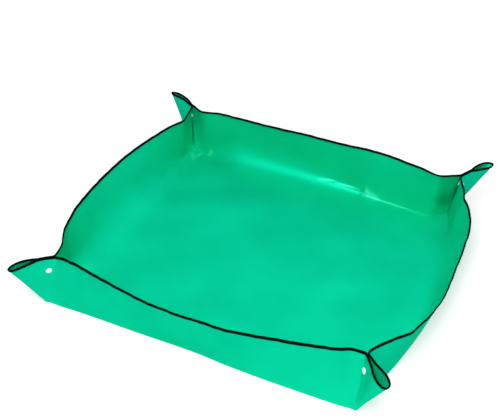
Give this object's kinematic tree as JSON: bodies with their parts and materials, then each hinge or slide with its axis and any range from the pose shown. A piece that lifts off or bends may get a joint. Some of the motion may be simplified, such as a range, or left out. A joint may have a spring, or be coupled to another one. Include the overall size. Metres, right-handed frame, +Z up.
{
  "type": "repotting mat",
  "caption": "Square coated sheet with a bound edge, folded up into a shallow tray whose pinched corners are held by press snaps.",
  "frame": {"origin": "centre of the folded mat's outline, on the surface it stands on", "axes": "+Z up, +X from the left wall to the right wall along the front wall, +Y from the front wall to the back wall"},
  "size_m": [0.6882, 0.6448, 0.1054],
  "materials": {
    "coated_sheet": "satin, smooth waterproof coating",
    "binding_tape": "woven, matte",
    "snap_plastic": "gloss"
  },
  "bodies": {
    "mat": {"tarp_sheet": "coated_sheet", "edge_binding": "binding_tape", "front_left_stud_cap": "snap_plastic", "front_left_stud": "snap_plastic", "front_right_stud_cap": "snap_plastic", "front_right_stud": "snap_plastic", "back_right_stud_cap": "snap_plastic", "back_right_stud": "snap_plastic", "back_left_stud_cap": "snap_plastic", "back_left_stud": "snap_plastic"},
    "front_left_socket_half": {"front_left_socket_cap": "snap_plastic", "front_left_socket": "snap_plastic"},
    "front_right_socket_half": {"front_right_socket_cap": "snap_plastic", "front_right_socket": "snap_plastic"},
    "back_right_socket_half": {"back_right_socket_cap": "snap_plastic", "back_right_socket": "snap_plastic"},
    "back_left_socket_half": {"back_left_socket_cap": "snap_plastic", "back_left_socket": "snap_plastic"}
  },
  "joints": [
    {"name": "front_left_snap", "type": "slide", "parent": "mat", "child": "front_left_socket_half", "axis": [-0.7611, 0.6427, 0.0878], "range_m": [0, 0.006], "deforming": ["tarp_sheet"]},
    {"name": "front_right_snap", "type": "slide", "parent": "mat", "child": "front_right_socket_half", "axis": [0.7477, 0.636, -0.1909], "range_m": [0, 0.006], "deforming": ["tarp_sheet"]},
    {"name": "back_right_snap", "type": "slide", "parent": "mat", "child": "back_right_socket_half", "axis": [0.8338, -0.527, -0.1645], "range_m": [0, 0.006], "deforming": ["tarp_sheet"]},
    {"name": "back_left_snap", "type": "slide", "parent": "mat", "child": "back_left_socket_half", "axis": [-0.4924, -0.8683, 0.0605], "range_m": [0, 0.006], "deforming": ["tarp_sheet"]}
  ]
}
